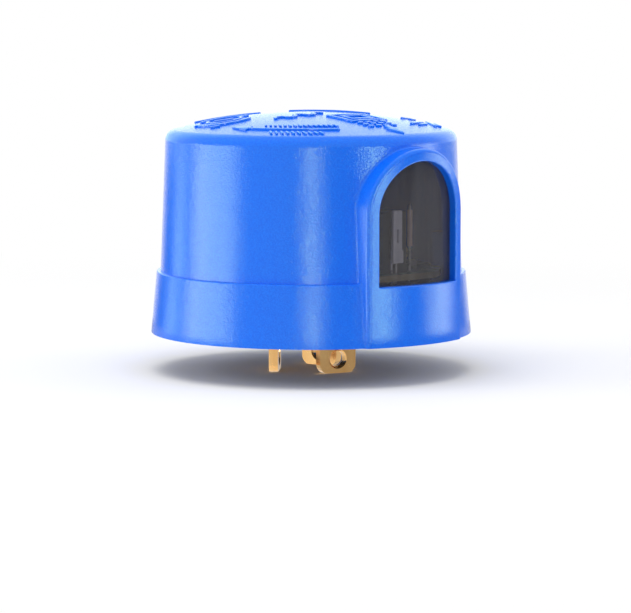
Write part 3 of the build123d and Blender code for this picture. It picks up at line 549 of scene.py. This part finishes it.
# %% Finishes out of sight
film_plastic = plain_finish(
    "yellow_box_plastic", colours=((0.62, 0.42, 0.06), (0.72, 0.50, 0.09)),
    gloss=(0.30, 0.42), patch=6 * MM, grain=0.3 * MM, depth=0.01 * MM,
)
disc_coat = plain_finish(
    "ochre_dipped_coat", colours=((0.52, 0.22, 0.03), (0.66, 0.30, 0.05)),
    gloss=(0.22, 0.36), patch=2.5 * MM, grain=1.1 * MM, depth=0.06 * MM,
)
chip_epoxy = plain_finish(
    "black_epoxy", colours=((0.014, 0.014, 0.015), (0.024, 0.024, 0.026)),
    gloss=(0.46, 0.60), patch=2 * MM, grain=0.2 * MM, depth=0.012 * MM,
)

# %% [markdown]
# ## Bands and stripes
# A small resistor is read by its colour bands, a diode by the pale band at one end and a can by
# the stripe down its side. They are printed fields of colour, so they belong in the finish. A
# band is the stretch of one coordinate that lies near a centre.

# %% Helpers for bands
X, Y, Z = range(3)


def axis_of(tree, vector, axis):
    """One axis of a vector."""
    parts = tree.nodes.new("ShaderNodeSeparateXYZ")
    tree.links.new(vector, parts.inputs[0])
    return parts.outputs[axis]


def near(tree, value, centre, half_width):
    """1 where value lies within half_width of centre, else 0."""
    test = tree.nodes.new("ShaderNodeMath")
    test.operation = "COMPARE"
    tree.links.new(value, test.inputs[0])
    test.inputs[1].default_value = centre
    test.inputs[2].default_value = half_width
    return test.outputs[0]


def add_bands(material, axis, bands):
    """Paints bands across an axis; each is a centre, a half width and a colour."""
    tree, shader, coordinates = parts_of(material)
    place = axis_of(tree, coordinates, axis)
    colour = shader.inputs["Base Color"].links[0].from_socket
    for centre, half_width, band_colour in bands:
        colour = blend_colours(tree, near(tree, place, centre, half_width), colour, band_colour)
    tree.links.new(colour, shader.inputs["Base Color"])
    print(material.name, "has bands at", [round(band[0] / MM, 1) for band in bands], "mm")


def middle_of(node, axis):
    """The middle of a node's box along one axis, in metres."""
    low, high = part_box(node)
    return (low[axis] + high[axis]) / 2


# %% [markdown]
# ### Small resistors
# Their coat is beige. They lie side by side and lengthwise along X, so one set of bands,
# measured from their common middle, serves them all: three for the number and one apart.

# %% Banded resistors
BAND_HALF_WIDTH = 0.22 * MM
RESISTOR_BANDS = (
    (-2.3, (0.35, 0.05, 0.02)),
    (-1.3, (0.02, 0.02, 0.02)),
    (-0.3, (0.75, 0.30, 0.02)),
    (2.3, (0.55, 0.38, 0.10)),
)

resistor_coat = plain_finish(
    "beige_resistor_coat", colours=((0.62, 0.46, 0.26), (0.72, 0.55, 0.33)),
    gloss=(0.28, 0.40), patch=1.5 * MM, grain=0.6 * MM, depth=0.03 * MM,
)
resistor_middle = middle_of("signal_resistors", X)
add_bands(resistor_coat, X, [
    (resistor_middle + offset * MM, BAND_HALF_WIDTH, colour) for offset, colour in RESISTOR_BANDS
])

# %% [markdown]
# ### Diodes and can
# A diode has a pale band near one end. The can's stripe runs up its side that looks along +Y,
# so it is the stretch of Y that lies next to the can's far edge.

# %% Banded diodes and striped can
CATHODE_OFFSET = 1.7 * MM
CATHODE_HALF_WIDTH = 0.40 * MM
CATHODE_GREY = (0.6, 0.6, 0.6)
STRIPE_HALF_WIDTH = 1.2 * MM
STRIPE_GREY = (0.55, 0.56, 0.58)

diode_epoxy = plain_finish(
    "diode_epoxy", colours=((0.012, 0.012, 0.013), (0.020, 0.020, 0.021)),
    gloss=(0.32, 0.45), patch=2 * MM, grain=0.3 * MM, depth=0.012 * MM,
)
cathode_band = middle_of("rectifier_diodes", X) + CATHODE_OFFSET
add_bands(diode_epoxy, X, [(cathode_band, CATHODE_HALF_WIDTH, CATHODE_GREY)])

can_sleeve = plain_finish(
    "can_sleeve", colours=((0.016, 0.018, 0.030), (0.024, 0.027, 0.042)),
    gloss=(0.22, 0.34), patch=4 * MM, grain=0.4 * MM, depth=0.008 * MM,
)
can_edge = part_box("smoothing_capacitor")[1][Y]
add_bands(can_sleeve, Y, [(can_edge, STRIPE_HALF_WIDTH, STRIPE_GREY)])

# %% [markdown]
# ## Circuit board
# The board is a glass and resin sheet, yellowish where it was cut, with a green lacquer over
# copper tracks on its faces. The cut edge is told from the faces by its normal: it points
# sideways. Tracks are two crossed sets of fine bands, each shown only in patches: a wave
# texture gives the bands and a noise the patches.

# %% Board finish
LAMINATE = (0.42, 0.35, 0.18)
TRACK_COLOUR = (0.040, 0.210, 0.070)
TRACK_PITCH = 2.4 * MM
TRACK_SHARE = 0.22
PATCH_LIMIT = 0.5
WAVES_A_METRE = 3  # about that many, for a wave texture at scale 1
SIDEWAYS = 0.5  # a normal with less than this along Z


def track_field(tree, coordinates, direction, patch):
    """Fine parallel tracks in patches this many metres wide."""
    wave = tree.nodes.new("ShaderNodeTexWave")
    wave.bands_direction = direction
    wave.inputs["Scale"].default_value = 1 / (TRACK_PITCH * WAVES_A_METRE)
    tree.links.new(coordinates, wave.inputs["Vector"])
    shown_here = tree.nodes.new("ShaderNodeMath")
    shown_here.operation = "GREATER_THAN"
    tree.links.new(noise(tree, coordinates, patch, detail=0.0), shown_here.inputs[0])
    shown_here.inputs[1].default_value = PATCH_LIMIT
    both = tree.nodes.new("ShaderNodeMath")
    both.operation = "MULTIPLY"
    tree.links.new(near(tree, wave.outputs["Fac"], 1.0, TRACK_SHARE), both.inputs[0])
    tree.links.new(shown_here.outputs[0], both.inputs[1])
    return both.outputs[0]


board_laminate = plain_finish(
    "lacquered_laminate", colours=((0.010, 0.085, 0.030), (0.016, 0.115, 0.042)),
    gloss=(0.22, 0.34), patch=6 * MM, grain=0.5 * MM, depth=0.006 * MM,
)
tree, shader, coordinates = parts_of(board_laminate)
lacquer = shader.inputs["Base Color"].links[0].from_socket
along = track_field(tree, coordinates, "X", patch=9 * MM)
across = track_field(tree, coordinates, "Y", patch=13 * MM)
painted = blend_colours(tree, any_of(tree, [along, across]), lacquer, TRACK_COLOUR)
geometry = tree.nodes.new("ShaderNodeNewGeometry")
cut_edge = near(tree, axis_of(tree, geometry.outputs["True Normal"], Z), 0.0, SIDEWAYS)
tree.links.new(blend_colours(tree, cut_edge, painted, LAMINATE), shader.inputs["Base Color"])

# %% [markdown]
# ## Finishes on the pieces
# The model's record names a material slot for every node. One table says which finish each slot
# gets, so nodes that are made of the same stuff share one material.

# %% Give every node its finish
FINISHES = {
    "cover_plastic": blue_plastic, "smoked_lens": smoked_plastic_painted_streaks, "base_plastic": base_plastic,
    "gasket_rubber": rubber, "blade_brass": brass, "screw_steel": zinc, "solder": solder,
    "board_laminate": board_laminate, "relay_base_plastic": relay_base_plastic,
    "relay_plastic": relay_plastic, "tinned_wire": tin, "sensor_epoxy": sensor_epoxy,
    "mask_plastic": mask_plastic, "fuse_sleeve": fuse_sleeve, "film_box": film_plastic,
    "can_sleeve": can_sleeve, "varistor_coat": disc_coat, "resistor_coat": resistor_coat,
    "diode_epoxy": diode_epoxy, "chip_epoxy": chip_epoxy,
}
for entry in frame["record"]["subparts"]:
    finished = nodes[entry["node"]]
    finished.data.materials.clear()
    finished.data.materials.append(FINISHES[entry["material_slot"]])

# %% [markdown]
# ## Raised marks on the dome
# Raised marks stand half a millimetre proud of the dome: an arrow that follows the turn, two
# rows of ticks along it, a ring, a wave, bars, a framed field and an arrow towards the window.
# On the real part they are cut into the mould. Here each is drawn flat above the dome, in
# millimetres, and dropped onto it later. That way its outline is drawn once in the plane and
# the dome's curve comes by itself.

# %% Drawing plane
DRAWING_HEIGHT = 60 * MM


def start_flat(add, **settings):
    """Adds a primitive at the origin with nothing else selected."""
    bpy.ops.object.select_all(action="DESELECT")
    add(location=(0, 0, 0), **settings)
    return bpy.context.object


def place_flat(piece, x, y, turn_degrees):
    """Turns a flat mark, moves it and lifts it into the drawing plane, within its own mesh."""
    spot = Matrix.Translation((x * MM, y * MM, DRAWING_HEIGHT))
    piece.data.transform(spot @ Matrix.Rotation(radians(turn_degrees), 4, "Z"))
    return piece


def place_all(pieces, x, y, turn_degrees):
    """Places several flat marks together."""
    return [place_flat(piece, x, y, turn_degrees) for piece in pieces]


# %% [markdown]
# ### Bars and triangles
# All the marks are made of three flat shapes: bars, triangles and bands along a circle. A bar is
# a plane, resized and then subdivided so that it can follow the dome. A triangle is a circle
# with three corners that are pulled into place.

# %% Bars and triangles
BAR_CUTS = 3


def bar(length, width):
    """A bar along X, in millimetres, with its ends cut square."""
    piece = start_flat(bpy.ops.mesh.primitive_plane_add, size=1)
    bpy.ops.object.mode_set(mode="EDIT")
    bpy.ops.transform.resize(value=(length * MM, width * MM, 1), center_override=(0, 0, 0))
    bpy.ops.mesh.subdivide(number_cuts=BAR_CUTS)
    bpy.ops.object.mode_set(mode="OBJECT")
    return piece


def triangle(length, width):
    """A triangle whose point looks along -X from a base at the origin."""
    corners = ((0, width / 2), (-length, 0), (0, -width / 2))
    piece = start_flat(
        bpy.ops.mesh.primitive_circle_add, vertices=len(corners), radius=1, fill_type="NGON",
    )
    for vertex, (x, y) in zip(piece.data.vertices, corners):
        vertex.co = (x * MM, y * MM, 0)
    return piece


# %% [markdown]
# ### Bands along a circle
# A band starts as a ring of edges. The part outside its two angles is deleted, and the rest gets
# its width by an extrude with a resize about the circle's centre, so both of its edges stay
# round. The slack keeps a corner that lies just on an end.

# %% Bands along a circle
CIRCLE_STEPS = 180
ANGLE_SLACK = radians(0.5)


def keep_angles(piece, start, end):
    """Deletes the vertices of a circle outside an angle range, in degrees."""
    bpy.ops.object.mode_set(mode="EDIT")
    bpy.ops.mesh.select_all(action="DESELECT")
    bpy.ops.object.mode_set(mode="OBJECT")
    for vertex in piece.data.vertices:
        angle = (atan2(vertex.co.y, vertex.co.x) - radians(start)) % (2 * pi)
        vertex.select = angle > radians(end - start) + ANGLE_SLACK
    bpy.ops.object.mode_set(mode="EDIT")
    bpy.ops.mesh.delete(type="VERT")
    bpy.ops.object.mode_set(mode="OBJECT")


def arc_band(radius, width, start, end):
    """A flat band along a circle about the origin, from one angle to another."""
    inner, outer = (radius - width / 2) * MM, (radius + width / 2) * MM
    wider = outer / inner
    piece = start_flat(
        bpy.ops.mesh.primitive_circle_add,
        vertices=CIRCLE_STEPS, radius=inner, fill_type="NOTHING",
    )
    keep_angles(piece, start, end)
    bpy.ops.object.mode_set(mode="EDIT")
    bpy.ops.mesh.select_all(action="SELECT")
    bpy.ops.mesh.extrude_edges_move()
    bpy.ops.transform.resize(value=(wider, wider, 1), center_override=(0, 0, 0))
    bpy.ops.object.mode_set(mode="OBJECT")
    return piece


# %% [markdown]
# ### From a drawing to a mark
# The flat shapes of one mark are joined and dropped onto the dome with a shrinkwrap. A solidify
# gives them their thickness, partly below the dome's face so that no gap can show, and a bevel
# softens the edge, as a cutter's rounded tip does in the mould. Then the mark rides on the body.

# %% Helper that finishes a mark
MARK_RISE = 0.5 * MM
MARK_ROOT = 0.25 * MM
MARK_EDGE = 0.20 * MM
MARK_SMOOTH = radians(35)


def apply_modifier(piece, kind, **settings):
    """Adds a modifier with its settings and applies it."""
    modifier = piece.modifiers.new(kind.lower(), kind)
    for setting, value in settings.items():
        setattr(modifier, setting, value)
    bpy.ops.object.modifier_apply(modifier=modifier.name)


def join_marks(name, pieces):
    """Joins flat marks, drops them on the dome, thickens them and softens their edges."""
    bpy.ops.object.select_all(action="DESELECT")
    for piece in pieces:
        piece.select_set(True)
    bpy.context.view_layer.objects.active = pieces[0]
    bpy.ops.object.join()
    piece = bpy.context.object
    piece.name = name
    for face in piece.data.polygons:
        if face.normal.z < 0:
            face.flip()
    piece.data.update()
    apply_modifier(
        piece, "SHRINKWRAP", target=nodes["cover"], wrap_method="PROJECT", use_project_z=True,
        use_negative_direction=True, use_positive_direction=False,
    )
    whole = MARK_RISE + MARK_ROOT
    apply_modifier(piece, "SOLIDIFY", thickness=whole, offset=1 - 2 * MARK_ROOT / whole)
    apply_modifier(piece, "BEVEL", width=MARK_EDGE, segments=2, limit_method="ANGLE")
    bpy.ops.object.shade_smooth_by_angle(angle=MARK_SMOOTH)
    piece.data.materials.clear()
    piece.data.materials.append(polished_plastic_painted_light)
    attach(piece, "root")
    print(name, "faces", len(piece.data.polygons))


# %% [markdown]
# ## Turn arrow
# The arrow shows which way the switch is turned to lock it. Its shaft is a band along a circle
# about the axis. Its head is a triangle set across the circle at the shaft's end, turned in a
# little, because the circle goes on curving under it.

# %% Turn arrow
LINE = 0.8
ARROW_R = 30.8
ARROW_TIP = 187.8
ARROW_NECK = 198.0
ARROW_END = 242.0
HEAD_WIDTH = 3.4
HEAD_TURN = 85
HEAD_OVERLAP = 1


def on_circle(radius, angle):
    """A plan point at a radius in millimetres and an angle in degrees."""
    return radius * cos(radians(angle)), radius * sin(radians(angle))


shaft = place_flat(arc_band(ARROW_R, LINE, ARROW_NECK - HEAD_OVERLAP, ARROW_END), 0, 0, 0)
head_length = ARROW_R * radians(ARROW_NECK - ARROW_TIP)
head = triangle(head_length, HEAD_WIDTH)
place_flat(head, *on_circle(ARROW_R, ARROW_NECK), ARROW_NECK + HEAD_TURN)
join_marks("turn_arrow", [shaft, head])

# %% [markdown]
# ## Rows of ticks
# Two rows of slanted ticks follow the arrow, one on each side. All ticks are alike, so one is
# drawn and copied along its own circle, each copy with its own mesh.

# %% Rows of ticks along the arrow
TICK_LENGTH = 2.1
TICK_WIDTH = 0.62
TICK_SLANT = 25


def copy_flat(piece):
    """A copy of a flat mark, with its own mesh."""
    copied = piece.copy()
    copied.data = piece.data.copy()
    bpy.context.scene.collection.objects.link(copied)
    return copied


def row_of_ticks(name, radius, first, step, count):
    """Slanted ticks along a circle, from a first angle on, in degrees."""
    tick = bar(TICK_LENGTH, TICK_WIDTH)
    ticks = []
    for number in range(count):
        angle = first + step * number
        spot = on_circle(radius, angle)
        ticks.append(place_flat(copy_flat(tick), *spot, angle + TICK_SLANT))
    bpy.data.objects.remove(tick)
    join_marks(name, ticks)


row_of_ticks("inner_row_ticks", radius=27.2, first=203.6, step=2.7, count=15)
row_of_ticks("outer_row_ticks", radius=34.1, first=211.2, step=2.4, count=10)

# %% [markdown]
# ## Ring and bars at the back
# Two broken rings with a bar in the middle stand for a rotary field, and long bars lie further
# back. They are read from the camera's side, so they are placed by how far they lie behind the
# axis and to its right as the camera sees it, and turned with the view.

# %% Ring and bars at the back
RING_R = 7.0
HUB_R = 4.4
THICK_LINE = 0.9
THIN_LINE = 0.7


def plan_point(along, across):
    """A plan point in millimetres, from its place behind the axis and to the camera's right."""
    point = into * along + aside * across
    return point.x, point.y


def place_in_view(pieces, along, across, turn_degrees):
    """Places flat marks as the camera sees them; a turn of 0 lies level in the picture."""
    return place_all(pieces, *plan_point(along, across), AZIMUTH_DEGREES + turn_degrees)


ring = [arc_band(RING_R, THICK_LINE, start, end) for start, end in ((200, 340), (30, 150))]
ring += [arc_band(HUB_R, THIN_LINE, 150, 390), bar(5.0, LINE)]
ring_marks = place_in_view(ring, -9.2, -22.4, 0)
ring_marks += place_in_view([bar(2.6, THIN_LINE)], -18.5, -24.4, 6)
ring_marks += place_in_view([bar(1.6, THIN_LINE)], -11.4, -29.2, 20)
join_marks("ring_marks", ring_marks)

far_bars = place_in_view([bar(19.0, LINE)], 8.4, -22.0, 26)
far_bars += place_in_view([bar(9.8, THICK_LINE)], 9.6, -1.0, 0)
far_bars += place_in_view([bar(12.0, THICK_LINE)], 6.2, 9.6, -8)
join_marks("far_bars", far_bars)

# %% [markdown]
# ## Wave at the crown
# Half rings set in turn above and below a line make a wave, so one band and one step do it all.

# %% Wave at the crown
WAVE_R = 1.5
WAVE_HALVES = 5
WAVE_START = (-16.2, -6.6)
WAVE_FALL = 0.2

crown_wave = []
for step in range(WAVE_HALVES):
    x, y = WAVE_START[0] + 2 * WAVE_R * step, WAVE_START[1] - WAVE_FALL * step
    crown_wave.append(place_flat(arc_band(WAVE_R, LINE, 0, 180), x, y, 180 * (step % 2)))
join_marks("crown_wave", crown_wave)

# %% [markdown]
# ## Double bars beside the window
# Three pairs of bars stand to the right of the window arrow. In each pair the second bar is
# shorter, so a pair is made from one length.

# %% Double bars beside the window
PAIR_SPACING = 1.7
PAIR_SHARE = 0.6
PAIRS = (  # x, y, length and turn
    (22.0, -12.8, 8.0, 30),
    (15.6, -23.6, 9.0, 27),
    (22.6, -21.6, 11.0, 60),
)

side_bars = []
for x, y, length, turn in PAIRS:
    shorter = bar(length * PAIR_SHARE, LINE)
    shorter.data.transform(Matrix.Translation((0, -PAIR_SPACING * MM, 0)))
    side_bars += place_all([bar(length, LINE), shorter], x, y, turn)
join_marks("side_bars", side_bars)

# %% [markdown]
# ## Framed field
# Two rectangles, one inside the other, frame a field in front of the crown. A rectangle is four
# bars that meet at the corners: two run its whole length and two fit in between.

# %% Framed field
OUTER_FRAME = (12.4, 10.0)
INNER_FRAME = (7.6, 5.4)
FIELD_PLACE = (0.4, -17.2)


def rectangle(length, width):
    """Four bars that make a rectangle about the origin."""
    sides = []
    for side in (-1, 1):
        for bar_length, bar_width, x, y in (
            (length, LINE, 0, side * (width - LINE) / 2),
            (LINE, width - 2 * LINE, side * (length - LINE) / 2, 0),
        ):
            piece = bar(bar_length, bar_width)
            piece.data.transform(Matrix.Translation((x * MM, y * MM, 0)))
            sides.append(piece)
    return sides


field = rectangle(*OUTER_FRAME) + rectangle(*INNER_FRAME)
join_marks("framed_field", place_all(field, *FIELD_PLACE, 0))

# %% [markdown]
# ## Dashes and window arrow
# Three rows of dashes lie between the field and the window. At the edge of the dome a short
# solid arrow points at the window, so that the switch can be turned towards the light.

# %% Dashes and window arrow
DASH_ROWS, DASH_COLUMNS = 3, 4
DASH_LENGTH = 1.7
ROW_PITCH, COLUMN_PITCH = 2.0, 2.6
DASH_PLACE = (-0.6, -26.0)
WINDOW_ARROW_PLACE = (-0.4, -31.2)

dashes = []
for row in range(DASH_ROWS):
    for column in range(DASH_COLUMNS):
        x = (column - (DASH_COLUMNS - 1) / 2) * COLUMN_PITCH
        y = (row - (DASH_ROWS - 1) / 2) * ROW_PITCH
        piece = bar(DASH_LENGTH, LINE)
        piece.data.transform(Matrix.Translation((x * MM, y * MM, 0)))
        dashes.append(piece)
join_marks("dash_grid", place_all(dashes, *DASH_PLACE, 0))

window_arrow = [triangle(length=4.8, width=4.0), bar(length=4.2, width=1.6)]
join_marks("window_arrow", place_all(window_arrow, *WINDOW_ARROW_PLACE, 90))
